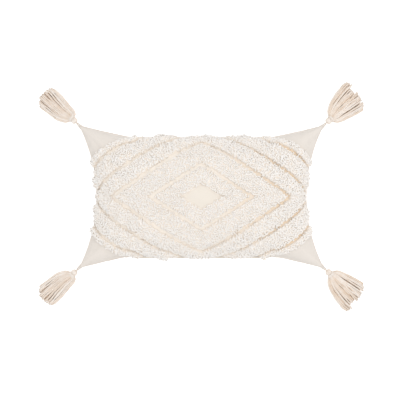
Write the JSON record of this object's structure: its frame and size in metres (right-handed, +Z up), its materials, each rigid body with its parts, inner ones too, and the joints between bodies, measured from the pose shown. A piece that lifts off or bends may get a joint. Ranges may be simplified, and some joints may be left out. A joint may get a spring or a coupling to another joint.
{
  "type": "throw pillow",
  "caption": "Long stuffed throw pillow in cream cotton with a raised tufted diamond pattern on the front, a zip in one long seam and a yarn tassel hanging from each corner.",
  "frame": {"origin": "on the floor under the middle of the pillow, which lies on its back", "axes": "+X along the long side, +Y along the short side away from the zip, +Z up through the tufted front"},
  "size_m": [0.6498, 0.4514, 0.125],
  "materials": {
    "canvas": "matte",
    "tufting": "matte",
    "tassel_yarn": "matte",
    "insert_casing": "matte",
    "fibre": "matte",
    "zip_tape": "matte",
    "zip_teeth": "satin",
    "zip_metal": "satin"
  },
  "bodies": {
    "cover": {"front_panel": "canvas", "back_panel": "canvas", "edge_seam": "canvas", "insert_front": "insert_casing", "insert_back": "insert_casing", "fibre_fill": "fibre", "tuft_ring_1": "tufting", "tuft_ring_2": "tufting", "tuft_ring_3": "tufting", "tuft_band_4_bottom_left": "tufting", "tuft_band_4_bottom_right": "tufting", "tuft_band_4_top_left": "tufting", "tuft_band_4_top_right": "tufting", "tuft_band_5_bottom_left": "tufting", "tuft_band_5_bottom_right": "tufting", "tuft_band_5_top_left": "tufting", "tuft_band_5_top_right": "tufting", "zip_tape_front": "zip_tape", "zip_tape_back": "zip_tape", "zip_teeth_front": "zip_teeth", "zip_teeth_back": "zip_teeth", "zip_top_stop": "zip_metal", "zip_bottom_stop": "zip_metal", "corner_eye_bottom_left": "canvas", "corner_eye_bottom_right": "canvas", "corner_eye_top_left": "canvas", "corner_eye_top_right": "canvas"},
    "zip_slider": {"zip_slider": "zip_metal"},
    "zip_pull": {"zip_pull": "zip_metal"},
    "loop_bottom_left": {"hanging_loop_bottom_left": "tassel_yarn"},
    "tassel_bottom_left": {"tassel_head_bottom_left": "tassel_yarn", "tassel_binding_bottom_left": "tassel_yarn", "tassel_skirt_bottom_left": "tassel_yarn"},
    "loop_bottom_right": {"hanging_loop_bottom_right": "tassel_yarn"},
    "tassel_bottom_right": {"tassel_head_bottom_right": "tassel_yarn", "tassel_binding_bottom_right": "tassel_yarn", "tassel_skirt_bottom_right": "tassel_yarn"},
    "loop_top_left": {"hanging_loop_top_left": "tassel_yarn"},
    "tassel_top_left": {"tassel_head_top_left": "tassel_yarn", "tassel_binding_top_left": "tassel_yarn", "tassel_skirt_top_left": "tassel_yarn"},
    "loop_top_right": {"hanging_loop_top_right": "tassel_yarn"},
    "tassel_top_right": {"tassel_head_top_right": "tassel_yarn", "tassel_binding_top_right": "tassel_yarn", "tassel_skirt_top_right": "tassel_yarn"}
  },
  "joints": [
    {"name": "zip_slide", "type": "slide", "parent": "cover", "child": "zip_slider", "axis": [-1, 0, 0], "range_m": [0, 0.246]},
    {"name": "pull_swing", "type": "hinge", "parent": "zip_slider", "child": "zip_pull", "pos_m": [0.124, -0.1264, 0.056], "axis": [0, 0, -1], "range_deg": [0, 180]},
    {"name": "loop_swing_bottom_left", "type": "hinge", "parent": "cover", "child": "loop_bottom_left", "pos_m": [-0.24715, -0.1451, 0.056], "axis": [0, 0, 1], "range_deg": [-45, 45]},
    {"name": "tassel_lift_bottom_left", "type": "hinge", "parent": "loop_bottom_left", "child": "tassel_bottom_left", "pos_m": [-0.24946, -0.14732, 0.056], "axis": [-0.6947, 0.7193, 0], "range_deg": [-60, 90]},
    {"name": "loop_swing_bottom_right", "type": "hinge", "parent": "cover", "child": "loop_bottom_right", "pos_m": [0.24724, -0.14501, 0.056], "axis": [0, 0, 1], "range_deg": [-45, 45]},
    {"name": "tassel_lift_bottom_right", "type": "hinge", "parent": "loop_bottom_right", "child": "tassel_bottom_right", "pos_m": [0.24965, -0.14711, 0.056], "axis": [-0.6561, -0.7547, 0], "range_deg": [-60, 90]},
    {"name": "loop_swing_top_left", "type": "hinge", "parent": "cover", "child": "loop_top_left", "pos_m": [-0.24715, 0.1451, 0.056], "axis": [0, 0, 1], "range_deg": [-45, 45]},
    {"name": "tassel_lift_top_left", "type": "hinge", "parent": "loop_top_left", "child": "tassel_top_left", "pos_m": [-0.24946, 0.14732, 0.056], "axis": [0.6947, 0.7193, 0], "range_deg": [-60, 90]},
    {"name": "loop_swing_top_right", "type": "hinge", "parent": "cover", "child": "loop_top_right", "pos_m": [0.24724, 0.14501, 0.056], "axis": [0, 0, 1], "range_deg": [-45, 45]},
    {"name": "tassel_lift_top_right", "type": "hinge", "parent": "loop_top_right", "child": "tassel_top_right", "pos_m": [0.24965, 0.14711, 0.056], "axis": [0.6561, -0.7547, 0], "range_deg": [-60, 90]}
  ]
}
